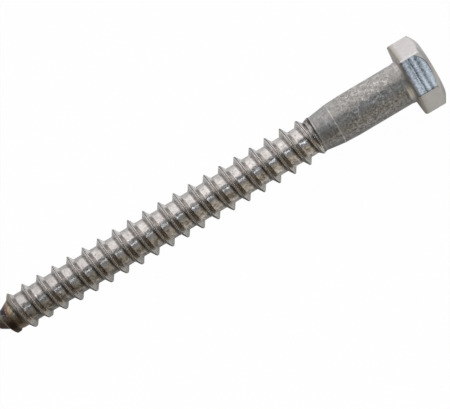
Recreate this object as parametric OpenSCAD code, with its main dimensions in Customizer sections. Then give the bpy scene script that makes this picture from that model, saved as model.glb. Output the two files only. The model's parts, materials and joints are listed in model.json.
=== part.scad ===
// Hex lag screw, 3/8 inch by 4 inch class, lying as it comes to rest.
// One solid: a forged hexagon head, a plain shank with a reduced neck, and a rolled coarse
// right-hand wood thread that starts on a cone point. It lies on one flat of its head and on
// one thread crest. Millimetres. +X runs from the point to the head, the origin is the centre
// of its footprint on the surface it lies on.

/* [Head] */
// Width of the hexagon across its flats
across_flats = 13.9; // [12.9:0.1:14.3]
// Height of the head above its bearing face
head_height = 5.85; // [5.4:0.05:6.8]
// Diameter of the flat round end of the head, inside the chamfer
end_face_d = 11.2; // [10:0.1:12]
// Radius of the domed chamfer, as a sphere centred on the axis
chamfer_r = 14; // [11:0.5:30]

/* [Shank] */
// Diameter of the plain shank
shank_d = 9.14; // [8.9:0.02:9.3]
// Length from the bearing face to the end of the full shank
shank_length = 13.6; // [10:0.2:18]
// Diameter of the collar the forging die leaves under the head
collar_d = 9.38; // [9.32:0.02:9.6]
// Length of that collar
collar_length = 0.9; // [0.6:0.1:2]
// Fall of the collar's radius along it, from the draft of the die
collar_draft = 0.02; // [0.01:0.01:0.04]
// Fillet between the collar and the bearing face
neck_fillet = 0.14; // [0.05:0.01:0.3]
// Diameter where the slow swell of the shank turns into the taper
swell_d = 8.86; // [8.6:0.02:8.88]
// Length of that swell
swell_length = 3.3; // [2:0.1:5]
// Diameter at the small end of the taper
taper_end_d = 7.78; // [7.5:0.02:8.2]
// Length of the taper
taper_length = 3.95; // [3:0.05:5]
// Height of the lip rolled up where the thread groove begins, on the radius
lip_height = 0.1; // [0.04:0.02:0.2]
// Distance from the small end of the taper to the top of that lip
lip_run = 0.45; // [0.3:0.05:0.8]
// Width of the top of that lip
lip_width = 0.15; // [0.1:0.05:0.4]
// Slope of the end of the thread groove, from the axis
groove_end_angle = 23; // [18:1:35]

/* [Thread] */
// Length from the bearing face to the tip
screw_length = 99.2; // [90:0.2:112]
// Distance between crests along the axis
pitch = 3.6286; // [3.4:0.01:3.8]
// Outside diameter of the thread
thread_d = 9.46; // [9:0.02:9.6]
// Diameter of the root between crests
root_d = 6.9; // [6.4:0.02:7]
// Width of a thread ridge at its base
ridge_base = 1.8; // [1.5:0.05:2.1]
// Width of the flat on a crest
crest_flat = 0.22; // [0.12:0.02:0.5]
// Length over which the thread sinks into the taper at its head end
run_out = 5.6; // [4.6:0.1:7]
// Distance from the small end of the taper to where the ridge has sunk to the root
run_out_reach = 2.25; // [2:0.05:2.8]

/* [Point] */
// Length of the point, from the tip to the full root
point_length = 6.2; // [5:0.1:8]
// Fullness of the point: 1 is a straight cone, more is rounder
point_fullness = 1.12; // [1:0.02:1.4]
// Distance from the tip to the start of the thread
thread_start = 1.18; // [1.1:0.02:1.6]
// Angle round the axis at which the thread starts, from straight down
start_angle = 261; // [0:9:351]
// Length over which the thread grows to full height
run_in = 9; // [6:0.5:14]

/* [Hidden] */
$fn = 96;
// points round one turn of the thread
turn_steps = 40;
root_r = root_d / 2;
ridge_height = (thread_d - root_d) / 2;
taper_end = shank_length + swell_length + taper_length;
lip_r = taper_end_d / 2 + lip_height;
// the crest of the ridge runs between these two heights on the screw's own axis, head upward
thread_z0 = -screw_length + thread_start;
thread_z1 = -taper_end + run_out_reach;
steps = floor((thread_z1 - thread_z0) / pitch * turn_steps);

// Radius of the root at a height on the axis, down to zero at the tip
function root_at(z) =
    let (u = (z + screw_length) / point_length)
    u >= 1 ? root_r : root_r * (1 - pow(1 - max(u, 0), point_fullness));
// Share of its full height that the ridge has at a height on the axis
function growth(z) =
    let (g_in = min((z - thread_z0) / run_in, 1), g_out = min((thread_z1 - z) / run_out, 1))
    max(0, min(1 - pow(1 - g_in, 2), g_out));
function crest_at(z) = root_at(z) + ridge_height * growth(z);
// Height of the middle of the ridge at one step of the helix
function ridge_z(m) = thread_z0 + pitch * m / turn_steps;
// The four edges of the ridge at one step, from the tip side to the head side
function edge_offset(k) = [-ridge_base, -crest_flat, crest_flat, ridge_base][k] / 2;
function ridge_point(m, k) =
    let (
        z = ridge_z(m) + edge_offset(k),
        r = k == 0 || k == 3 ? root_at(z) : crest_at(ridge_z(m)),
        a = start_angle + 360 * m / turn_steps
    )
    [r * cos(a), r * sin(a), z];

// Steps at which the crest faces straight down, where it can touch the surface
down_steps = [for (m = [0:steps]) if ((start_angle * turn_steps / 360 + m) % turn_steps == 0) m];
// The screw leans on the bearing-side edge of a flat and on the crest that needs least tilt
rest_tilt = min([for (m = down_steps) atan((across_flats / 2 - crest_at(ridge_z(m))) / -ridge_z(m))]);
// Centre of the footprint and height of the bearing face's centre over the surface
reach_head = end_face_d / 2 * sin(rest_tilt) + head_height * cos(rest_tilt);
reach_tip = screw_length * cos(rest_tilt);
axis_height = across_flats / 2 * cos(rest_tilt);

// Lays the screw down from its own upright axis, with the bearing face's centre as its origin
module laid_down() {
    translate([(reach_tip - reach_head) / 2, 0, axis_height])
        rotate([0, 90 - rest_tilt, 0])
            children();
}

// Hexagon with two flats level, chamfered at the end by a sphere that passes through the
// edge of the end face
module head() {
    corner_r = across_flats / sqrt(3);
    intersection() {
        rotate(30) cylinder(r = corner_r, h = head_height, $fn = 6);
        translate([0, 0, head_height - sqrt(pow(chamfer_r, 2) - pow(end_face_d / 2, 2))])
            sphere(chamfer_r);
    }
}

// Everything turned about the axis: collar, shank, swell, taper, lip and end of the groove
module shank() {
    // the cone at the end of the groove stops inside the root
    groove_end_r = root_r * 0.95;
    groove_end_z = -taper_end - lip_run - lip_width - (lip_r - groove_end_r) / tan(groove_end_angle);
    step = (collar_d - shank_d) / 2 - collar_draft;
    rotate_extrude()
        polygon([
            [0, head_height / 2],
            [collar_d / 2 + neck_fillet, head_height / 2],
            [collar_d / 2 + neck_fillet, 0],
            [collar_d / 2, -neck_fillet],
            [collar_d / 2 - collar_draft, -collar_length],
            [shank_d / 2, -collar_length - step],
            [shank_d / 2, -shank_length],
            [swell_d / 2, -shank_length - swell_length],
            [taper_end_d / 2, -taper_end],
            [lip_r, -taper_end - lip_run],
            [lip_r, -taper_end - lip_run - lip_width],
            [groove_end_r, groove_end_z],
            [0, groove_end_z]
        ]);
}

// The root and its helical ridge in one skin, closed at the tip and inside the taper
module thread() {
    n = turn_steps;
    tip = 4 * (steps + 1);
    inner = tip + 1;
    points = [
        for (m = [0:steps], k = [0:3]) ridge_point(m, k),
        [0, 0, -screw_length],
        [0, 0, thread_z1 + pitch / 4]
    ];
    faces = [
        // flanks and crest
        for (m = [0:steps - 1], k = [0:2])
            each [
                [4 * m + k, 4 * m + k + 5, 4 * m + k + 4],
                [4 * m + k, 4 * m + k + 1, 4 * m + k + 5]
            ],
        // root, from the head side of one turn to the tip side of the next
        for (m = [0:steps - n - 1])
            each [
                [4 * m + 3, 4 * (m + n + 1), 4 * m + 7],
                [4 * m + 3, 4 * (m + n), 4 * (m + n + 1)]
            ],
        // tip
        for (m = [0:n - 2]) [4 * m, 4 * m + 4, tip],
        for (k = [0:2]) [k + 1, k, 4 * (n - 1)],
        [4 * n, 3, 4 * (n - 1)],
        [0, tip, 4 * (n - 1)],
        // end inside the taper
        for (m = [steps - n:steps - 1]) [4 * m + 7, 4 * m + 3, inner],
        for (k = [0:2]) [4 * steps + k, 4 * steps + k + 1, inner],
        [4 * (steps - n) + 3, 4 * steps, inner]
    ];
    polyhedron(points = points, faces = faces, convexity = 12);
}

module lag_screw() {
    color("silver")
        laid_down()
            union() {
                head();
                shank();
                thread();
            }
}

lag_screw();
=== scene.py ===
"""Hex lag screw, lying as it comes to rest: its looks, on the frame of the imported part."""

import json
import math

import bpy
from mathutils import Matrix, Vector


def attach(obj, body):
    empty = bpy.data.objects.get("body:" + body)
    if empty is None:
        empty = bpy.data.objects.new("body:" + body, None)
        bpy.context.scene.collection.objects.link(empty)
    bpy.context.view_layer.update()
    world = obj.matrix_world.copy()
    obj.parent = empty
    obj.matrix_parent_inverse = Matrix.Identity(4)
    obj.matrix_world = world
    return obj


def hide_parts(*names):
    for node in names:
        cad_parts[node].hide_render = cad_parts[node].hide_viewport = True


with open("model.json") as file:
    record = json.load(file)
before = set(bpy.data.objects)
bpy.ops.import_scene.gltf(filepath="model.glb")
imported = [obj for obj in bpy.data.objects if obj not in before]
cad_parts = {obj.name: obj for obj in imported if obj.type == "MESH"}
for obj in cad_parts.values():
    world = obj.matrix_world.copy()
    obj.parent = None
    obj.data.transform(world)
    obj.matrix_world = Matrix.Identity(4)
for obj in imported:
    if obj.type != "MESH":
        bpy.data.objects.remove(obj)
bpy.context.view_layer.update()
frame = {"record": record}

# Sizes of the screw in millimetres, as in the part's source, but for the crest, which is worn.
# The screw is worked out upright on its own axis: the bearing face at height 0, the head above
# it and the point below it.
SCREW = {
    "Screw length": 99.2,
    "Pitch": 3.6286,
    "Thread diameter": 9.46,
    "Root diameter": 6.9,
    "Ridge base": 1.8,
    "Crest width": 0.2,
    "Point length": 6.2,
    "Across flats": 13.9,
    "Head height": 5.85,
    "End face diameter": 11.2,
    "Chamfer radius": 14.0,
}
MM = 0.001
AROUND = 96  # points round one turn, so that each corner and flat of the hexagon gets one
ACROSS = 32  # rows across one pitch of the thread
CREST_HEIGHT_AT_SIDE = -92.486  # where the crest passes the side of the screw that faces +Y
THREAD_FOOT, THREAD_TOP = -98.02, -18.6  # where the ridge starts, and where it has sunk away
RUN_IN, RUN_OUT = 9.0, 5.6
TURNED_FROM = -24.6  # from here to the head, the surface is made in rings
SHANK_FROM, COLLAR_FROM = -18.0, -1.1  # where one band of rings ends and the next begins
POINT_FULLNESS = 1.12
CREST_RADIUS, ROOT_RADIUS, HOLLOW_RADIUS = 4.7, 3.45, 3.3  # where marks are placed
NECK_RADIUS = 4.83
# What is turned about the axis, as heights and radii
TURNED = [
    (TURNED_FROM, 2.66),  # end of the groove, inside the root
    (-21.45, 3.985),  # lip
    (-21.30, 3.985),
    (-20.85, 3.89),  # small end of the taper
    (-16.90, 4.43),  # end of the swell
    (-13.60, 4.57),  # plain shank
    (-1.00, 4.57),
    (-0.90, 4.67),  # collar
    (-0.14, 4.69),
    (0.0, NECK_RADIUS),
]


class Value:
    """One output of a node. Arithmetic on values adds the Math nodes that work it out."""

    def __init__(self, sheet, socket):
        self.sheet, self.socket = sheet, socket

    def __add__(self, other):
        return self.sheet.math("ADD", self, other)

    __radd__ = __add__

    def __sub__(self, other):
        return self.sheet.math("SUBTRACT", self, other)

    def __rsub__(self, other):
        return self.sheet.math("SUBTRACT", other, self)

    def __mul__(self, other):
        return self.sheet.math("MULTIPLY", self, other)

    __rmul__ = __mul__

    def __truediv__(self, other):
        return self.sheet.math("DIVIDE", self, other)

    def __pow__(self, power):
        return self.sheet.math("POWER", self, power)

    def __neg__(self):
        return 0 - self


class Sheet:
    """A node tree, written as expressions."""

    def __init__(self, tree):
        self.tree = tree

    def node(self, kind, settings=None, sockets=None, output=0):
        """A new node. It gives back one output, or several for a list of their names."""
        made = self.tree.nodes.new(kind)
        for name, setting in (settings or {}).items():
            setattr(made, name, setting)
        for name, given in (sockets or {}).items():
            if isinstance(given, Value):
                self.tree.links.new(given.socket, made.inputs[name])
            elif isinstance(given, list) and isinstance(given[0], Value):
                for one in given:
                    self.tree.links.new(one.socket, made.inputs[name])
            else:
                made.inputs[name].default_value = given
        if isinstance(output, list):
            return [Value(self, made.outputs[name]) for name in output]
        return Value(self, made.outputs[output]) if len(made.outputs) else made

    def math(self, operation, *given):
        return self.node("ShaderNodeMath", {"operation": operation}, dict(enumerate(given)))

    def most(self, a, b):
        return self.math("MAXIMUM", a, b)

    def least(self, a, b):
        return self.math("MINIMUM", a, b)

    def limit(self, a, low, high):
        return self.least(self.most(a, low), high)

    def size(self, a):
        return self.math("ABSOLUTE", a)

    def cos(self, a):
        return self.math("COSINE", a)

    def sin(self, a):
        return self.math("SINE", a)

    def ramp(self, a, low, high):
        """0 below low, 1 above high, a straight line between."""
        return self.limit((a - low) / (high - low), 0, 1)

    def ease(self, a, low, high):
        """0 below low, 1 above high, with soft ends."""
        return self.soft(self.ramp(a, low, high))

    def soft(self, share):
        return share * share * (3 - 2 * share)

    def strip(self, a, start, full, fading, end):
        """1 from full to fading, 0 below start and above end, with soft ends."""
        return self.ease(a, start, full) * (1 - self.ease(a, fading, end))

    def blended_most(self, a, b, radius):
        """The larger of two heights, with the corner between them filled to that radius."""
        near = self.most(radius - self.size(a - b), 0)
        return self.most(a, b) + near * near / (4 * radius)

    def between(self, a, b, share):
        return a + (b - a) * share

    def polyline(self, a, points):
        """The height over a of the line through these points, level outside them."""
        height = points[0][1]
        for (a0, y0), (a1, y1) in zip(points, points[1:]):
            height = self.limit(a - a0, 0, a1 - a0) * ((y1 - y0) / (a1 - a0)) + height
        return height

    def vector(self, x, y, z):
        return self.node("ShaderNodeCombineXYZ", {}, {"X": x, "Y": y, "Z": z})

    def parts(self, vector):
        return self.node("ShaderNodeSeparateXYZ", {}, {0: vector}, ["X", "Y", "Z"])

    def noise(self, place, scale, detail=2.0, roughness=0.5):
        """Soft noise from -1 to 1 at a place in millimetres, with about scale lumps in each."""
        found = self.node(
            "ShaderNodeTexNoise",
            {"noise_dimensions": "3D"},
            {"Vector": place, "Scale": scale, "Detail": detail, "Roughness": roughness},
        )
        return found * 2 - 1

    def spot(self, place, radius, degrees, height, size):
        """1 at the spot with this radius, angle from straight down and height, 0 at its size."""
        turned = math.radians(degrees)
        middle = [radius * math.cos(turned), radius * math.sin(turned), height]
        away = self.node(
            "ShaderNodeVectorMath", {"operation": "DISTANCE"}, {0: place, 1: middle}, "Value"
        )
        return self.limit(1 - away / size, 0, 1)

    def crest_offset(self, angle, height, pitch):
        """Distance along the axis from the nearest crest at that angle."""
        crest = CREST_HEIGHT_AT_SIDE + pitch * ((angle - math.pi / 2) / (2 * math.pi))
        return self.math("FLOORED_MODULO", height - crest + pitch / 2, pitch) - pitch / 2

    def colour(self, share, first, second):
        """From the first colour to the second, by a share that is kept between 0 and 1."""
        factor, first_in, second_in, colour_out = 0, 6, 7, 2
        first, second = (
            given if isinstance(given, Value) else (*given, 1) for given in (first, second)
        )
        return self.node(
            "ShaderNodeMix",
            {"data_type": "RGBA"},
            {factor: share, first_in: first, second_in: second},
            colour_out,
        )

    def times(self, colour, factor):
        """A colour with each channel multiplied by a factor colour, or all by one value."""
        if isinstance(factor, Value):
            return self.node(
                "ShaderNodeVectorMath", {"operation": "SCALE"}, {0: colour, "Scale": factor}
            )
        return self.node("ShaderNodeVectorMath", {"operation": "MULTIPLY"}, {0: colour, 1: factor})


class Form(Sheet):
    """The shape of the screw, as radius, angle and height on its own axis, in millimetres."""

    def __init__(self, tree, sizes, axes):
        super().__init__(tree)
        self.axes = axes
        for name in sizes:
            tree.interface.new_socket(name=name, in_out="INPUT", socket_type="NodeSocketFloat")
        tree.interface.new_socket(name="Screw", in_out="OUTPUT", socket_type="NodeSocketGeometry")
        self.given = dict(zip(sizes, self.node("NodeGroupInput", {}, {}, list(sizes))))
        self.root = self.given["Root diameter"] / 2
        self.ridge = (self.given["Thread diameter"] - self.given["Root diameter"]) / 2

    def root_radius(self, height):
        """Radius between the ridges, down to nothing at the tip."""
        left = 1 - (height + self.given["Screw length"]) / self.given["Point length"]
        return self.root * (1 - self.limit(left, 0, 1) ** POINT_FULLNESS)

    def ridge_growth(self, height):
        """Share of its full height that the ridge has there."""
        run_in = self.limit((height - THREAD_FOOT) / RUN_IN, 0, 1)
        run_out = self.limit((THREAD_TOP - height) / RUN_OUT, 0, 1)
        return self.least(1 - (1 - run_in) * (1 - run_in), run_out)

    def ridge_section(self, offset, centre):
        """Trapezoid with filled roots and worn crest corners, 0 to 1, blunter at the point."""
        blunt, root_fill, crest_wear = 0.22, 0.12, 0.04
        half_base = self.given["Ridge base"] / 2
        half_crest = self.given["Crest width"] / 2 + self.ramp(-centre, 92.8, 94.2) * blunt
        climb = (half_base - self.size(offset)) / (half_base - half_crest)
        filled = self.blended_most(climb, 0, root_fill)
        return -self.blended_most(-filled, -1, crest_wear)

    def thread_radius(self, angle, height):
        """Radius of the thread, with the wear of its crests and a hollow near the point."""
        offset = self.crest_offset(angle, height, self.given["Pitch"])
        centre = height - offset
        section = self.ridge_section(offset, centre)
        growth = self.ridge_growth(centre)
        place = self.surface_place(CREST_RADIUS, angle, centre)
        # rolling leaves a seam along the crest, which is a little lower towards the point
        half_seam = 0.1
        seam = self.most(1 - (offset / half_seam) * (offset / half_seam), 0) * growth
        seam_depth = 0.05 + self.noise(place, 0.6) * 0.03
        height_short = self.polyline(
            centre, [(-90.0, 0.16), (-78.0, 0.12), (-64.0, 0.02), (-58.0, 0.03), (-30.0, 0.0)]
        )
        short = (height_short + self.noise(place, 0.5, 1) * 0.035) * section
        for depth, spot_height, spot_angle, spot_size in WORN_CRESTS:
            near = self.spot(place, CREST_RADIUS, spot_angle, spot_height, spot_size)
            short = short + self.soft(near) * depth * section
        full = self.root_radius(centre) + self.ridge * growth
        bare = self.root_radius(height)
        place = self.surface_place(HOLLOW_RADIUS, angle, height)
        for depth, spot_height, spot_angle, spot_size in HOLLOWS:
            near = self.spot(place, HOLLOW_RADIUS, spot_angle, spot_height, spot_size)
            bare = bare - self.soft(near) * depth
        return self.between(bare, full, section) - seam * seam_depth - short * growth

    def surface_place(self, radius, angle, height):
        return self.vector(radius * self.cos(angle), radius * self.sin(angle), height)

    def lay_down(self, radius, angle, height):
        """The point in the frame, in metres, of a point on the upright screw."""
        point_aside = 0.085  # grinding left the point a little off the axis
        aside = self.ramp(-height, 92.4, 94.8) * point_aside
        x = radius * self.cos(angle) * MM
        y = (radius * self.sin(angle) - aside) * MM
        z = height * MM
        origin, x_axis, y_axis, z_axis = self.axes
        return self.vector(
            *(x * x_axis[i] + y * y_axis[i] + z * z_axis[i] + origin[i] for i in range(3))
        )

    def band(self, rows, place, columns=AROUND):
        """A band of the skin. place gives radius, angle and height for a column and row share."""
        mesh = self.node(
            "GeometryNodeMeshGrid",
            {},
            {"Size X": 1.0, "Size Y": 1.0, "Vertices X": columns + 1, "Vertices Y": rows + 1},
            "Mesh",
        )
        x, y, _ = self.parts(self.node("GeometryNodeInputPosition"))
        column = self.math("ROUND", (x + 0.5) * columns)
        share = self.math("ROUND", (y + 0.5) * rows) / rows
        return self.node(
            "GeometryNodeSetPosition",
            {},
            {"Geometry": mesh, "Position": self.lay_down(*place(column, share))},
        )

    # thread ------------------------------------------------------------------------------

    def thread_band(self):
        """One long spiral strip, a pitch wide, with its rows closest together at the crest."""
        step = 2 * math.pi / AROUND
        pitch = SCREW["Pitch"]
        below = (CREST_HEIGHT_AT_SIDE + SCREW["Screw length"]) / pitch + 0.5
        above = (TURNED_FROM - CREST_HEIGHT_AT_SIDE) / pitch + 0.5
        first, last = -math.ceil(below * AROUND), math.ceil(above * AROUND)

        def place(column, share):
            turned = column + first
            angle = turned * step + math.pi / 2
            spread = share * 2 - 1
            across = spread * (0.4 + spread * spread * 0.6) / 2
            height = (turned / AROUND + across) * self.given["Pitch"] + CREST_HEIGHT_AT_SIDE
            height = self.limit(height, -self.given["Screw length"], TURNED_FROM)
            radius = self.thread_radius(angle, height)
            return self.root_marks(radius, angle, height), angle, height

        return self.band(ACROSS, place, last - first)

    def root_marks(self, radius, angle, height):
        """Unevenness and handling marks of the rolled surface."""
        place = self.surface_place(radius, angle, height)
        lumps = self.noise(place, 0.6, 2) * 0.035
        return radius + lumps * self.ramp(height, -SCREW["Screw length"], -95)

    # run-out, shank and collar -------------------------------------------------------------

    def ring_band(self, low, high, rows, radius_at):
        def place(column, share):
            angle = column * (2 * math.pi / AROUND)
            height = self.between(low, high, share)
            return radius_at(angle, height), angle, height

        return self.band(rows, place)

    def run_out_radius(self, angle, height):
        thread = self.thread_radius(angle, height)
        radius = self.blended_most(thread, self.polyline(height, TURNED), 0.03)
        return self.root_marks(radius, angle, height)

    def shank_radius(self, angle, height):
        radius = self.polyline(height, TURNED)
        place = self.surface_place(radius, angle, height)
        return radius + self.noise(place, 1.3, 2) * 0.008 * self.ramp(-height, 0.0, 0.6)

    # head ------------------------------------------------------------------------------------

    def hexagon_angle(self, angle):
        """Moves the columns of the skin towards the corners, which stay where they are."""
        pull = 0.93  # at 1, neighbouring columns would meet there
        return angle + self.sin(angle * 6) * (pull / 6)

    def hexagon_radius(self, angle):
        """Hexagon with slightly rounded corners and one flat facing straight down."""
        sharpness = 120
        total = 0
        for side in range(3):
            total = self.size(self.cos(angle - side * math.pi / 3)) ** sharpness + total
        return self.given["Across flats"] / 2 * total ** (-1 / sharpness)

    def chamfer_height(self, radius, angle):
        """Height of the domed chamfer, which leans a little, and of the end face it runs into."""
        lift, slope, soft_corner = 0.13, 0.035, 0.35
        dome = self.given["Chamfer radius"] * self.given["Chamfer radius"]
        end = self.given["End face diameter"] / 2
        top = self.given["Head height"]
        rise = self.math("SQRT", dome - radius * radius) - self.math("SQRT", dome - end * end)
        lean = lift + radius * self.cos(angle) * slope
        return -self.blended_most(-(top + rise + lean), -top, soft_corner)

    def ripple(self, angle, height):
        """Shear ripples along the flats."""
        start, length, wave_depth, wander_depth = 2.2, 1.25, 0.007, 0.012
        wave = self.sin((height - start) * (2 * math.pi / length)) * wave_depth
        place = self.surface_place(SCREW["Across flats"] / 2, angle, height)
        wander = self.noise(place, 0.5, 2) * wander_depth
        return (wave + wander) * self.ease(height, 0.7, 1.3)

    def head_bands(self):
        """Bearing face, rounded lower edge, flats, arc edge, chamfer and end face."""
        tuck, lower, upper, inner_end = 0.26, 0.75, 0.08, 4.4
        top = self.given["Head height"]

        def side(column):
            plain = column * (2 * math.pi / AROUND)
            angle = self.hexagon_angle(plain)
            return plain, angle, self.hexagon_radius(angle)

        def tuck_at(angle, radius):
            """The corner on one side of the bearing face is rounder than the others."""
            corner = self.ease(radius, 7.3, 8.0) * self.ramp(-self.sin(angle), 0.6, 0.95)
            return tuck + corner * 0.3

        def spaced(share):
            return (1 - self.cos(share * math.pi)) / 2

        def rounded(share, before, corner, after):
            """Point on the curve from before to after, drawn towards corner."""
            rest = 1 - share
            return [
                rest * rest * a + rest * share * 2 * b + share * share * c
                for a, b, c in zip(before, corner, after)
            ]

        def bearing(column, share):
            plain, angle, radius = side(column)
            share = spaced(share)
            r = self.between(NECK_RADIUS, radius - tuck_at(angle, radius), share)
            return r, self.between(plain, angle, share), 0.0

        def lower_edge(column, share):
            _, angle, radius = side(column)
            r, z = rounded(
                share,
                (radius - tuck_at(angle, radius), 0.0),
                (radius, 0.0),
                (radius, lower),
            )
            return r, angle, z

        def flats(column, share):
            _, angle, radius = side(column)
            height = self.between(
                lower, self.chamfer_height(radius, angle) - upper, spaced(share)
            )
            inside = self.ease(share, 0, 0.1) * self.ease(1 - share, 0, 0.1)
            return radius + self.ripple(angle, height) * inside, angle, height

        def arc_edge(column, share):
            _, angle, radius = side(column)
            inner = radius - upper
            corner = self.chamfer_height(radius, angle)
            r, z = rounded(
                share,
                (radius, corner - upper),
                (radius, corner),
                (inner, self.chamfer_height(inner, angle)),
            )
            return r, angle, z

        def chamfer(column, share):
            _, angle, radius = side(column)
            r = self.between(radius - upper, inner_end, share)
            return r, angle, self.chamfer_height(r, angle)

        def end_face(column, share):
            _, angle, _ = side(column)
            return inner_end * (1 - share), angle, top

        rows = {bearing: 6, lower_edge: 7, flats: 24, arc_edge: 4, chamfer: 16, end_face: 5}
        return [self.band(count, place) for place, count in rows.items()]

    def build(self, material):
        weld = 6e-7  # metres, far less than the distance between neighbouring points
        skin = [
            self.thread_band(),
            self.ring_band(TURNED_FROM, SHANK_FROM, 120, self.run_out_radius),
            self.ring_band(SHANK_FROM, COLLAR_FROM, 70, self.shank_radius),
            self.ring_band(COLLAR_FROM, 0.0, 16, self.shank_radius),
            *self.head_bands(),
        ]
        whole = self.node("GeometryNodeJoinGeometry", {}, {"Geometry": skin[::-1]})
        whole = self.node(
            "GeometryNodeMergeByDistance", {}, {"Geometry": whole, "Distance": weld}
        )
        whole = self.node("GeometryNodeSetShadeSmooth", {}, {"Geometry": whole})
        whole = self.node("GeometryNodeRealizeInstances", {}, {"Geometry": whole})
        whole = self.node(
            "GeometryNodeSetMaterial", {}, {"Geometry": whole, "Material": material}
        )
        self.node("NodeGroupOutput", {}, {"Screw": whole})


# Worn places on the crests, and with a negative depth the higher ones: depth, height on the axis,
# angle round it from straight down, size
WORN_CRESTS = [
    (0.30, -87.1, 270.0, 2.4),
    (-0.12, -94.2, 270.0, 1.6),
    (-0.13, -61.6, 90.0, 4.0),
    (-0.15, -30.9, 90.0, 1.6),
    (-0.45, -27.8, 90.0, 1.3),
]
# Hollows at the foot of the ridge: depth, height, angle and size likewise
HOLLOWS = [(0.25, -93.45, 270.0, 0.8)]


def screw_axes():
    """Origin and axes of the upright screw in the frame, from the part's bearing face."""
    bearing = next(m for m in frame["record"]["mounts"] if m["name"] == "bearing_face")
    along = -Vector(bearing["axis"])
    across = Vector((0, 1, 0))
    return Vector(bearing["pos_m"]), across.cross(along), across, along


def make_screw(material):
    tree = bpy.data.node_groups.new("lag screw form", "GeometryNodeTree")
    Form(tree, SCREW, screw_axes()).build(material)
    holder = bpy.data.objects.new("lag_screw_form", bpy.data.meshes.new("empty form"))
    bpy.context.scene.collection.objects.link(holder)
    shaped = holder.modifiers.new("form", "NODES")
    shaped.node_group = tree
    for item in tree.interface.items_tree:
        if item.in_out == "INPUT":
            shaped[item.identifier] = SCREW[item.name]
    graph = bpy.context.evaluated_depsgraph_get()
    mesh = bpy.data.meshes.new_from_object(holder.evaluated_get(graph))
    bpy.data.objects.remove(holder)
    screw = bpy.data.objects.new("lag_screw_steel", mesh)
    bpy.context.scene.collection.objects.link(screw)
    return screw


# Steel ---------------------------------------------------------------------------------------

# Painted glints: height on the axis, angle round it from straight down, radius, size
PAINTED_GLINTS = [
    (-87.2, 163.0, ROOT_RADIUS, 0.26),
    (-82.44, 195.5, ROOT_RADIUS, 0.30),
    (-65.13, 162.0, ROOT_RADIUS, 0.24),
    (-69.76, 208.7, CREST_RADIUS, 0.26),
]

# Dents in the roots: depth, height on the axis, angle round it from straight down, size
DENTS = [
    (0.12, -87.55, 161.0, 0.34),
    (0.05, -82.75, 197.0, 0.30),
    (0.05, -60.98, 176.0, 0.25),
    (0.06, -54.5, 111.0, 0.35),
]


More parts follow.
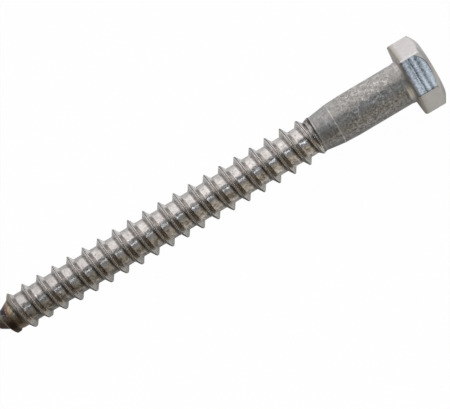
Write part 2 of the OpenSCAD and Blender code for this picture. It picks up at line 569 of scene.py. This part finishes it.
class Finish(Sheet):
    """The steel's surface, placed by the screw's own axis, with the marks its parts share."""

    def __init__(self, name, axes):
        material = bpy.data.materials.new(name)
        material.use_nodes = True
        material.node_tree.nodes.clear()
        super().__init__(material.node_tree)
        self.material = material
        origin, *directions = axes
        place = self.node("ShaderNodeTexCoord", {}, {}, "Object")
        moved = self.node(
            "ShaderNodeVectorMath", {"operation": "SUBTRACT"}, {0: place, 1: origin}
        )
        upright = [
            self.node(
                "ShaderNodeVectorMath", {"operation": "DOT_PRODUCT"}, {0: moved, 1: axis}, "Value"
            )
            / MM
            for axis in directions
        ]
        self.x, self.y, self.height = upright
        self.place = self.vector(*upright)
        self.radius = self.math("SQRT", self.x * self.x + self.y * self.y)
        self.angle = self.math("ARCTAN2", self.y, self.x)
        self.offset = self.crest_offset(self.angle, self.height, SCREW["Pitch"])
        self.threaded = 1 - self.ease(self.height, -21.75, -21.6)
        self.ridge = (1 - self.ease(self.size(self.offset), 0.74, 0.92)) * self.threaded
        self.spread_grain()
        self.spread_side_masks()
        self.roll_crest()

    def spread_grain(self):
        """Unevenness of the steel, from the broadest to the finest."""
        self.patches = self.noise(self.place, 0.9, 3, 0.6)
        self.speckle = self.noise(self.place, 2.4, 4, 0.65)
        self.fine = self.noise(self.place, 6.0, 3, 0.6)
        self.pits = self.dots(1.6, 0.13, 0.5)
        self.pin_holes = self.dots(3.6, 0.075, 0.4)
        rolled = self.vector(self.offset * 9, self.angle * 1.2, self.height * 0.3)
        self.lines = self.noise(rolled, 1.0, 2, 0.6)
        veins = 1 - self.ease(self.size(self.noise(self.place, 1.0, 2, 0.6)), 0.0, 0.06)
        scuffs = self.ease(self.noise(self.place, 3.0, 3, 0.7), 0.24, 0.40)
        self.rubs = self.limit(scuffs + veins * self.ease(self.patches, 0.0, 0.2), 0, 1)

    def spread_side_masks(self):
        """Masks for the lower side and its flanks, and factors that make each side darker towards
        the point.
        """
        self.under = self.ease(-self.y, 0.6, 1.5)
        self.low_flank = self.ease(-self.y, -0.7, 0.5)
        self.clean = self.polyline(
            self.height,
            [
                (-93.0, 0.40), (-81.6, 0.60), (-67.0, 0.78), (-56.0, 0.98), (-45.0, 1.22),
                (-27.0, 1.33),
            ],
        )
        self.top_darker_to_point = self.polyline(
            self.height, [(-93.0, 0.72), (-81.6, 0.88), (-63.0, 1.0), (-38.0, 1.05)]
        )

    def roll_crest(self):
        """The worn land along the crest, which lower down keeps to the side of the point."""
        down = -self.y
        cut_back = self.ramp(down, -0.5, 1.0) * 0.06 + self.ramp(down, 2.2, 3.2) * 0.15
        across = self.offset + (1 - self.ramp(down, 2.0, 3.2)) * 0.09
        self.land = self.threaded * (1 - self.ease(-across, 0.28, 0.35))
        self.land = self.land * (1 - self.ease(across + cut_back, 0.26, 0.33))
        self.bead = self.sin(self.angle * 63 + self.offset * 10) * 0.45
        uneven = self.vector(self.angle * 14, self.offset * 2, self.height * 0.4)
        self.bead = self.bead + self.noise(uneven, 1.0, 1) * 0.6
        first = self.size(across + 0.185 - self.low_flank * 0.015) - self.low_flank * 0.04
        second = self.size(across - 0.155 + self.low_flank * 0.025)
        self.on_line = self.most(
            1 - self.ease(first, 0.06, 0.12), (1 - self.ease(second, 0.05, 0.11)) * 0.72
        )

    def dots(self, scale, reach, share):
        """1 in the middle of scattered round spots, 0 at reach, in a share of the cells."""
        away, tone = self.node(
            "ShaderNodeTexVoronoi",
            {},
            {"Vector": self.place, "Scale": scale},
            ["Distance", "Color"],
        )
        pick, _, _ = self.parts(tone)
        spots = self.limit(1 - away / (reach * scale), 0, 1)
        return spots * self.ramp(pick, 1 - share, 1.01 - share)


def root_colour(s):
    """Rolled bright with specks, pits and pin holes, and mottled brown dirt on the lower side,
    painted darker there as shade.
    """
    root = s.colour(
        s.patches * 1.1 + s.speckle * 0.9 + 0.55, (0.46, 0.435, 0.42), (0.76, 0.735, 0.72)
    )
    # mottled brown dirt for the lower side, which painted shade makes darker there
    dirt_and_shade = s.colour(
        s.patches * 1.5 + s.speckle * 1.2 + 0.45, (0.24, 0.215, 0.18), (0.82, 0.76, 0.69)
    )
    root = s.colour(s.dots(2.1, 0.13, 0.35) * 1.5, root, (0.93, 0.91, 0.90))
    # painted shade at the foot of the ridge, on the side of the point
    foot = s.strip(-s.offset, 0.75, 0.9, 1.0, 1.25) * (1 - s.ramp(s.y, 3.0, 3.4))
    root = s.times(root, s.top_darker_to_point * (1 - foot * 0.55))
    # painted shade in a band near the lower edge of the root
    shade = 1 - s.ramp(-s.y, 2.3, 2.8) * (1 - s.ramp(-s.y, 3.05, 3.35)) * 0.34
    root = s.colour(s.under, root, s.times(dirt_and_shade, s.clean * (1 - foot * 0.6) * shade))
    # painted shade in the pits and pin holes
    root = s.times(root, 1 - s.limit(s.pits * 2, 0, 1) * 0.65)
    return s.times(root, 1 - s.limit(s.pin_holes * 2, 0, 1) * 0.5)


def flank_colour(s):
    """Duller than the roots, with fine rolling lines, brown dirt and painted shade on the lower
    side, and painted light across it.
    """
    tone = s.lines * 0.7 + s.speckle * 0.6 + 0.5
    # painted shade: darker towards the foot of the flank, lighter towards the crest
    rise = s.polyline(
        s.offset, [(-0.85, 0.72), (-0.72, 0.78), (-0.6, 0.93), (-0.5, 1.0), (-0.4, 1.15)]
    )
    return s.colour(s.low_flank, upper_flank(s, tone, rise), lower_flank(s, tone, rise))


def upper_flank(s, tone, rise):
    # painted light and shade across the flank from side to side, for its point and head sides
    tip_light = s.polyline(
        s.y,
        [
            (0.1, 0.95), (0.7, 1.38), (1.1, 1.30), (1.8, 1.25), (2.5, 0.89), (2.83, 0.87),
            (3.5, 1.16),
        ],
    )
    head_light = s.polyline(
        s.y,
        [
            (0.0, 1.1), (0.68, 1.60), (1.3, 1.60), (1.6, 1.42), (2.2, 0.84), (2.5, 0.72),
            (2.83, 1.08), (3.14, 1.75), (3.5, 2.0),
        ],
    )
    light = s.between(tip_light, head_light, s.ease(s.offset, -0.1, 0.2))
    # painted shade at the foot of the flank
    foot = s.ease(-s.offset, 0.4, 0.8) * s.ramp(s.y, -0.5, 1.5) * (1 - s.ramp(s.y, 2.8, 3.4))
    flank = s.colour(tone, (0.40, 0.375, 0.36), (0.60, 0.57, 0.55))
    return s.times(flank, s.top_darker_to_point * (1 - foot * 0.38) * light * rise)


def lower_flank(s, tone, rise):
    # painted light and shade across the lower flank from side to side
    tip_light = s.polyline(
        -s.y,
        [
            (0.0, 0.62), (0.55, 1.10), (1.5, 0.97), (1.8, 0.85), (2.1, 0.62), (2.4, 0.42),
            (2.7, 0.60), (3.0, 1.15), (3.4, 1.6), (3.8, 2.0),
        ],
    )
    head_light = s.polyline(-s.y, [(0.0, 3.4), (0.9, 5.9), (1.3, 5.9), (1.8, 5.0)])
    # painted shade towards the foot of the flank, steeper on this side
    steep_rise = s.polyline(
        s.offset, [(-0.85, 0.78), (-0.7, 0.72), (-0.6, 1.0), (-0.5, 1.6), (-0.4, 2.4)]
    )
    rise = s.between(steep_rise, rise, s.ramp(-s.y, 1.8, 2.4))
    head_side = s.ease(s.offset, 0.0, 0.1)
    # dark brown dirt, and painted shade on the lower side
    dirt_and_shade = s.colour(tone, (0.085, 0.072, 0.057), (0.14, 0.122, 0.102))
    dirt_and_shade = s.times(dirt_and_shade, s.between(tip_light * rise, head_light, head_side))
    # painted light: the head-side flank is pale near the lower edge
    worn = s.colour(
        s.speckle * 1.1 + s.patches * 0.5 + 0.55, (0.68, 0.66, 0.61), (1.0, 0.985, 0.94)
    )
    worn = s.times(worn, s.limit(s.clean * 0.45 + 0.50, 0, 1))
    return s.colour(head_side * s.ramp(-s.y, 2.6, 3.5), dirt_and_shade, worn)


def crest_colour(s):
    """Two worn bright lines, beaded by the rolls, with a dark seam between them."""
    bright = s.colour(s.bead * 1.5 + 0.85, (0.36, 0.34, 0.33), (1.0, 0.985, 0.97))
    # painted shade: a darker copy of the lines for the lower side, dimmed further towards its edge
    side_shade = s.colour(s.bead * 1.3 + 0.72, (0.32, 0.30, 0.275), (0.86, 0.835, 0.80))
    dimmer = s.polyline(-s.y, [(1.0, 1.0), (1.7, 0.88), (2.4, 0.65), (2.9, 0.38), (3.4, 0.28)])
    line = s.colour(s.low_flank, bright, s.times(side_shade, dimmer))
    crest = s.colour(s.on_line, (0.15, 0.138, 0.128), line)
    return s.times(crest, 1 - s.ramp(-s.height, 91.0, 91.8) * 0.35)


def thread_colour(s):
    """Roots, flanks and crests, with the black lower edge and the painted glints."""
    colour = s.colour(s.ridge, root_colour(s), flank_colour(s))
    colour = s.colour(s.land, colour, crest_colour(s))
    # the lower side of the crest has a black edge towards the point
    past_crest = s.offset - s.ramp(-s.y, 3.5, 4.1) * 0.06
    black = s.ramp(-s.y, 3.3, 3.8) * s.ease(s.offset, -0.62, -0.5)
    black = black * (1 - s.ease(past_crest, 0.02, 0.12)) * (1 - s.ease(s.height, -26.0, -25.0))
    colour = s.colour(black * s.threaded * 0.85, colour, (0.04, 0.036, 0.032))
    for glint_height, glint_angle, glint_radius, glint_size in PAINTED_GLINTS:
        glint = s.spot(s.place, glint_radius, glint_angle, glint_height, glint_size) * 2.5
        glint = s.limit(glint, 0, 1) * s.threaded * 0.85
        colour = s.colour(glint, colour, (0.97, 0.95, 0.93))
    return colour


def groove_colour(s):
    """The end of the thread groove: duller, with fine lines, and painted light on its lower side.
    """
    ridges = s.noise(s.vector(s.height * 3.8, s.angle * 1.6, 4.0), 1.0, 1, 0.5)
    groove = s.colour(
        ridges * 2.2 + s.bead * 0.8 + 0.40, (0.07, 0.063, 0.056), (0.56, 0.54, 0.52)
    )
    # painted light on the lower side
    return s.times(groove, 1 + s.ramp(-s.y, -0.5, 1.0) * 0.7)


def shank_colour(s):
    """Dull skin with small bright rubs, browner on the lower side, and painted light and shade
    from side to side.
    """
    band = s.ease(s.height, -15.5, -12.5) * s.ease(-s.height, 2.0, 4.5)
    grain = (s.speckle * 1.4 + s.fine * 0.7) * (0.65 + band * 0.35)
    shank = s.colour(
        grain + s.patches * 0.6 + 0.45, (0.24, 0.235, 0.226), (0.56, 0.545, 0.525)
    )
    rubbed = s.rubs * (0.2 + band * 0.8) * s.ramp(s.y, -5.5, 0.5)
    shank = s.colour(rubbed, shank, (0.97, 0.96, 0.94))
    shank = s.times(shank, (1 + s.under * 0.057) * (1 + s.speckle * s.under * 0.85))
    # painted shade in the pin holes
    shank = s.times(shank, 1 - s.limit(s.pin_holes * 2, 0, 1) * 0.45)
    # painted light and shade across the shank from side to side
    wear = s.polyline(
        s.y,
        [
            (-4.4, 0.80), (-4.0, 0.58), (-3.6, 0.72), (-2.8, 0.94), (-1.5, 0.86), (-0.8, 1.06),
            (-0.45, 0.82), (0.1, 0.68), (0.8, 0.88), (1.7, 0.87), (2.5, 0.91), (3.3, 1.04),
            (3.7, 1.16), (4.1, 1.34),
        ],
    )
    shank = s.times(shank, wear)
    return collar_colour(s, lip_colour(s, taper_colour(s, shank)))


def taper_colour(s, shank):
    """The taper has painted light and shade from side to side and a painted bluish reflection on
    the upper side; a light line shows where the swell ends.
    """
    # painted light and shade across the taper from side to side
    side_shade = s.polyline(
        s.y,
        [
            (-4.0, 0.20), (-3.0, 0.16), (-2.2, 0.05), (-1.6, 0.22), (-1.1, 0.36), (-0.6, 0.24),
            (0.0, -0.04), (1.2, -0.08), (1.8, 0.08), (2.6, 0.14), (3.3, 0.0),
        ],
    )
    on_taper = s.ease(-s.height, 16.6, 17.2)
    shank = s.times(shank, 1 - on_taper * side_shade)
    # painted reflection: a little bluer on the upper side
    blue = s.times(shank, (0.96, 0.985, 1.01))
    shank = s.colour(on_taper * s.ramp(s.y, -0.5, 0.5), shank, blue)
    ring = s.strip(s.height, -16.97, -16.85, -16.77, -16.65)
    worn = 0.4 + s.ramp(s.patches + s.speckle, -0.3, 0.3) * 0.45
    return s.colour(ring * worn, shank, (0.74, 0.72, 0.70))


def lip_colour(s, shank):
    """The lip has a dark line at its top, painted shadow, and a bright one beside it."""
    bright_line = s.strip(s.height, -21.05, -20.95, -20.85, -20.7) * s.ramp(s.bead, -0.2, 0.2)
    shank = s.colour(bright_line * 0.5, shank, (0.80, 0.79, 0.77))
    # painted shadow under the lip, on the upper side
    line = s.strip(s.height, -21.62, -21.5, -21.15, -21.03) * s.ramp(s.y, -2.2, 0.2)
    return s.colour(line, shank, (0.045, 0.042, 0.04))


def collar_colour(s, shank):
    """The collar is rubbed bare in places, and painted shade darkens the neck behind it."""
    low = s.ramp(-s.y, 0.5, 1.9) * (1 - s.ramp(-s.y, 2.9, 3.9) * 0.9)
    rubbed = s.most(low, s.polyline(s.y, [(1.6, 0.0), (2.3, 0.3), (3.1, 0.4), (3.6, 1.0)]))
    bare = s.colour(s.ramp(s.y, -0.5, 0.5), (0.86, 0.82, 0.75), (0.66, 0.625, 0.62))
    shank = s.colour(s.ease(s.height, -1.12, -0.98) * rubbed * 0.9, shank, bare)
    # painted shade in the corner under the head
    return s.times(shank, 1 - s.ease(s.height, -0.3, -0.05) * 0.35)


def pale_faces(s):
    """The flats beside the top one: pale, painted lighter above and darker below, with a yellowish
    edge and then painted shade at the bearing face.
    """
    mottle = s.patches * 0.6 + s.speckle * 0.5 + 0.5
    # painted light and shade: a lighter copy for the upper flat, a darker one for the lower
    upper = s.colour(mottle, (0.71, 0.67, 0.67), (0.89, 0.85, 0.85))
    lower = s.colour(mottle, (0.54, 0.52, 0.49), (0.67, 0.65, 0.62))
    pale = s.colour(s.ease(s.y, -1.0, 1.0), lower, upper)
    # painted shade along the arc edge
    to_edge = s.height - (8 - s.radius) * 0.63
    pale = s.times(pale, 1 - s.strip(to_edge, 4.2, 4.4, 4.8, 5.0) * 0.16)
    # painted light and shade beside the top flat: lighter on the lower side, darker on the upper
    beside_film = (1 - s.ease(-s.x, 6.84, 6.92)) * s.ramp(-s.x, 5.0, 5.8)
    beside_film = beside_film * s.ease(s.height, 4.6, 4.8)
    tone = s.between(1.4, 0.76, s.ramp(s.y, -1.2, 1.2))
    pale = s.times(pale, s.between(1, tone, beside_film))
    yellow = (1 - s.ease(s.height, 0.7, 1.6)) * s.ease(s.height, 0.1, 0.4)
    pale = s.colour(yellow * 0.7, pale, (0.52, 0.49, 0.41))
    # painted shade on the rounded edge at the bearing face
    edge = 1 - s.ease(s.height, 0.3, 0.75)
    return s.colour(edge * 0.8, pale, (0.26, 0.235, 0.205))


def blue_film(s, streak, cross, pale):
    """The top flat: bright and dark stripes along the shear ripples, painted in as reflections,
    with a blue film over them.
    """
    wander = s.noise(s.vector(s.y * 0.5, s.height * 2, 0.0), 1.0, 2) * 0.10
    # painted reflections: bright and dark stripes across the flat, a little darker towards the
    # upper side
    level = s.polyline(
        s.height + wander,
        [
            (0.0, 0.16), (0.35, 0.34), (0.7, 0.52), (0.95, 0.86), (1.3, 0.76), (1.6, 0.48),
            (1.85, 0.80), (2.1, 0.14), (2.45, 0.57), (2.75, 1.0), (3.0, 0.83), (3.35, 0.34),
            (3.6, 0.40), (4.0, 0.82), (4.4, 0.88), (4.75, 0.70),
        ],
    )
    weave = s.noise(s.place, 3.4, 2, 0.6)
    level = level * (1.04 - s.ramp(s.y, -1.0, 2.0) * 0.22)
    level = s.limit(level + streak * 0.4 + cross * 0.5 + weave * 0.4, 0.02, 1)
    film = s.colour(level, (0.04, 0.065, 0.105), (0.86, 0.925, 1.0))
    # painted shade on the rounded edge at the bearing face
    film = s.colour(1 - s.ramp(s.height, 0.15, 0.75), film, (0.20, 0.185, 0.165))
    # it ends in a dark line along the arc, painted shadow under the burr there; the arc cuts off
    # the upper corner
    cut = s.most(s.y - 1.3, 0)
    arc = s.height + s.y * s.y * 0.036 + cut * cut * 0.17 + weave * 0.08
    film = s.colour(
        s.ease(arc, 4.88, 4.95) * s.ramp(s.y, -2.8, 0.5), film, (0.12, 0.125, 0.13)
    )
    return s.colour(s.ease(arc, 5.03, 5.10), film, pale)


def head_colour(s):
    """Pale faces, and the blue film on the top flat, between a painted highlight on the upper
    corner and a dark burr with painted shade on the lower corner.
    """
    pale = pale_faces(s)
    streak = s.noise(s.vector(s.y * 1.2, s.height * 4.2, 3.0), 1.0, 2, 0.6)
    cross = s.noise(s.vector(s.y * 4.2, s.height * 1.4, 7.0), 1.0, 2, 0.6)
    film = blue_film(s, streak, cross, pale)
    # a dark burr on the lower corner, with painted shade
    burr = s.ease(-s.y, 3.84, 3.92) * s.ramp(streak + cross, -0.25, 0.15)
    film = s.colour(burr * 0.8, film, (0.06, 0.075, 0.10))
    # painted highlight along the upper corner, beaded
    bright_line = s.strip(s.y, 3.70, 3.78, 4.05, 4.13) * s.ease(-s.x, 6.5, 6.7)
    glitter = s.noise(s.vector(s.y, s.height * 3.6, 5.0), 1.0, 1)
    corner = s.colour(glitter * 1.4 + 0.75, (0.68, 0.68, 0.69), (1.0, 0.99, 0.98))
    pale = s.colour(bright_line * s.ease(s.height, 0.4, 0.6), pale, corner)
    return s.colour(s.ease(-s.x, 6.72, 6.82) * (1 - bright_line), pale, film)


def heat_tint(s, colour):
    """Straw, brown and blue-black oxide left by grinding the point."""
    at = s.height + s.noise(s.place, 0.35, 3, 0.55) * 0.45 + s.noise(s.place, 1.6, 2) * 0.2
    flat_side = s.ramp(s.y, -1.2, 0.8)
    mottle = 1 + s.noise(s.place, 3.0, 2) * 0.9
    for start, full, tint in (
        (-91.6, -92.6, (0.36, 0.31, 0.25)),
        (-92.8, -93.3, (0.32, 0.255, 0.185)),
        (-93.6, -94.15, (0.18, 0.105, 0.062)),
        (-94.3, -94.7, (0.048, 0.040, 0.046)),
        (-95.2, -95.6, (0.16, 0.15, 0.13)),
    ):
        share = 1 - s.ease(at, full, start)
        colour = s.colour(share * flat_side, colour, s.times(tint, mottle))
    sparks = s.dots(2.4, 0.16, 0.45) * s.ramp(-at, 93.9, 94.3) * (1 - s.ramp(-at, 95.0, 95.3))
    colour = s.colour(s.limit(sparks * 2, 0, 1) * flat_side, colour, (0.42, 0.44, 0.58))
    # the lower side is painted darker, as shade, over browner oxide that begins sooner
    shade = s.polyline(-s.y, [(1.0, 1.0), (1.8, 0.62), (2.4, 0.62), (3.0, 1.3)])
    shade = shade * (1 + s.speckle * 0.9)
    for start, full, tint in (
        (-91.2, -92.4, (0.15, 0.112, 0.072)),
        (-93.2, -94.0, (0.055, 0.038, 0.026)),
    ):
        share = (1 - s.ease(at, full, start)) * (1 - flat_side)
        colour = s.colour(share, colour, s.times(tint, shade))
    # the foot of the first full turn is dark, and a painted highlight lies along the first turn of
    # the ridge
    foot = s.strip(s.offset, -1.3, -1.1, -0.75, -0.6) * s.ramp(s.y, -2.0, -1.0)
    foot = foot * s.strip(s.height, -93.5, -93.1, -91.5, -91.0)
    colour = s.times(colour, 1 - foot * 0.65)
    bright_line = s.strip(s.offset, -0.85, -0.65, -0.5, -0.35) * (1 - s.ease(s.height, -95.2, -94.8))
    return s.colour(bright_line * 0.7 * s.ramp(s.y, -3.5, -1.0), colour, (0.30, 0.285, 0.26))


def screw_steel():
    s = Finish("screw steel", screw_axes())
    on_shank = s.ease(s.height, -21.5, -21.3)
    on_head = s.ease(s.height, -0.12, 0.0)
    groove_end = s.ease(s.height, -24.3, -23.8) * s.ramp(s.offset, 0.25, 0.45)
    colour = s.colour(groove_end, thread_colour(s), groove_colour(s))
    colour = s.colour(on_shank, colour, shank_colour(s))
    colour = s.colour(on_head, colour, head_colour(s))
    roughness = (
        0.12
        + s.ease(s.noise(s.place, 0.8, 2), -0.05, 0.3) * 0.12
        + s.speckle * 0.05
        + s.ridge * 0.13
        + on_shank * 0.22
        + s.ramp(-s.height, 92.4, 94.0) * 0.2
        - s.rubs * on_shank * 0.08
        + on_head * 0.02
        + s.fine * 0.04
    )
    relief = (
        s.noise(s.place, 1.7, 2, 0.5) * (0.022 - on_shank * 0.014 - on_head * 0.004)
        + s.speckle * 0.004
        + s.fine * 0.0015
        - s.pits * 0.035 * (1 - on_head)
        - s.pin_holes * 0.01 * (1 - on_head)
        + s.lines * s.ridge * 0.006
        + s.bead * s.on_line * s.land * 0.014
    )
    for depth, dent_height, dent_angle, dent_size in DENTS:
        dent = s.spot(s.place, ROOT_RADIUS, dent_angle, dent_height, dent_size)
        relief = relief - dent * depth
    bump = s.node("ShaderNodeBump", {}, {"Strength": 1.0, "Distance": MM, "Height": relief})
    shader = s.node(
        "ShaderNodeBsdfPrincipled",
        {},
        {
            "Base Color": heat_tint(s, colour),
            "Metallic": 1.0,
            "Roughness": s.limit(roughness, 0.06, 0.6),
            "Normal": bump,
        },
    )
    s.node("ShaderNodeOutputMaterial", {}, {"Surface": shader})
    return s.material


# Studio --------------------------------------------------------------------------------------


def seen_share(sheet, camera_share, glossy_share):
    """Share of plain white that camera rays and reflections get from the studio."""
    rays = ["Is Camera Ray", "Is Glossy Ray", "Is Transmission Ray"]
    camera, glossy, passing = sheet.node("ShaderNodeLightPath", {}, {}, rays)
    return camera * camera_share + (glossy + passing) * glossy_share


def make_floor():
    material = bpy.data.materials.new("white floor")
    material.use_nodes = True
    material.node_tree.nodes.clear()
    s = Sheet(material.node_tree)
    paper = s.node("ShaderNodeBsdfDiffuse", {}, {"Color": (0.86, 0.86, 0.86, 1), "Roughness": 0.0})
    white = s.node("ShaderNodeEmission", {}, {"Color": (1, 1, 1, 1), "Strength": 1.0})
    _, y, _ = s.parts(s.node("ShaderNodeTexCoord", {}, {}, "Object"))
    # the lamp side of the paper shines in the steel, and the side in the screw's shade doesn't
    lamp_side = s.polyline(
        y / MM,
        [
            (-30.0, 0.30), (-12.0, 0.22), (-7.0, 0.08), (0.0, 0.0), (3.0, 0.05), (5.0, 0.17),
            (8.0, 0.26), (13.0, 0.42), (25.0, 0.7), (60.0, 1.0),
        ],
    )
    mixed = s.node(
        "ShaderNodeMixShader", {}, {0: seen_share(s, 0.985, lamp_side), 1: paper, 2: white}
    )
    s.node("ShaderNodeOutputMaterial", {}, {"Surface": mixed})
    mesh = bpy.data.meshes.new("floor")
    half = 1.5
    mesh.from_pydata(
        [(-half, -half, 0), (half, -half, 0), (half, half, 0), (-half, half, 0)],
        [],
        [(0, 1, 2, 3)],
    )
    mesh.materials.append(material)
    floor = bpy.data.objects.new("floor", mesh)
    bpy.context.scene.collection.objects.link(floor)
    return floor


def light_studio():
    """Soft light all round: a broad bright side, a dim warm side, a narrow dim strip overhead."""
    world = bpy.data.worlds.new("studio")
    bpy.context.scene.world = world
    world.use_nodes = True
    world.node_tree.nodes.clear()
    s = Sheet(world.node_tree)
    x, y, z = s.parts(s.node("ShaderNodeTexCoord", {}, {}, "Generated"))
    across = s.math("ARCTAN2", y, z) * (180 / math.pi)
    along = s.math("ARCSINE", x) * (180 / math.pi)

    level = s.polyline(
        across,
        [
            (-100, 0.42), (-34, 0.42), (-25, 0.27), (-2.4, 0.27), (-1.3, 2.3), (0.2, 2.3),
            (1.5, 0.18), (19, 0.18), (26, 0.5), (36, 1.14),
        ],
    )
    # the gap beside the strip closes to a grey towards the point
    gap = s.ramp(across, 0.5, 2.0) * (1 - s.ramp(across, 17, 21))
    level = level + gap * s.ramp(-along, 7.5, 10.5) * 0.3
    bright = s.ramp(across, 22, 34)
    dim_side = 1 - s.ramp(across, -38, -20)
    # a small blue-white window over the head's end of the ceiling
    window_level = 1.85
    window = s.strip(along, 1.6, 2.4, 9, 12) * (1 - s.ease(s.size(across), 6, 9))
    tint = s.colour(bright, (0.96, 0.98, 1.0), (1.0, 0.975, 0.965))
    tint = s.colour(dim_side, tint, (1.0, 0.94, 0.85))
    lit = s.colour(window, tint, (0.85, 0.935, 1.0))
    level = s.between(level, window_level, window)
    studio = s.node("ShaderNodeBackground", {}, {"Color": lit, "Strength": level})
    white = s.node("ShaderNodeBackground", {}, {"Color": (1, 1, 1, 1), "Strength": 1.0})
    mixed = s.node(
        "ShaderNodeMixShader", {}, {0: seen_share(s, 1.0, 0.0), 1: studio, 2: white}
    )
    s.node("ShaderNodeOutputWorld", {}, {"Surface": mixed})


def place_camera():
    """Camera straight over the screw, at the angle from which it is usually shown."""
    across, down, roll = 0.0183, -0.0058, 0.5363
    lens = bpy.data.cameras.new("camera")
    lens.sensor_width = 36
    lens.lens = 165.7
    lens.clip_start, lens.clip_end = 0.01, 20
    camera = bpy.data.objects.new("camera", lens)
    turn = (
        Matrix.Rotation(across, 3, "X")
        @ Matrix.Rotation(down, 3, "Y")
        @ Matrix.Rotation(roll, 3, "Z")
    )
    place = Matrix.Translation((0.008074, 0.002676, 0.429603))
    camera.matrix_world = place @ turn.transposed().to_4x4()
    bpy.context.scene.collection.objects.link(camera)
    bpy.context.scene.camera = camera


bpy.context.scene.view_settings.view_transform = "Standard"
screw = make_screw(screw_steel())
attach(screw, "root")
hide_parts("lag_screw")
floor = make_floor()
light_studio()
place_camera()
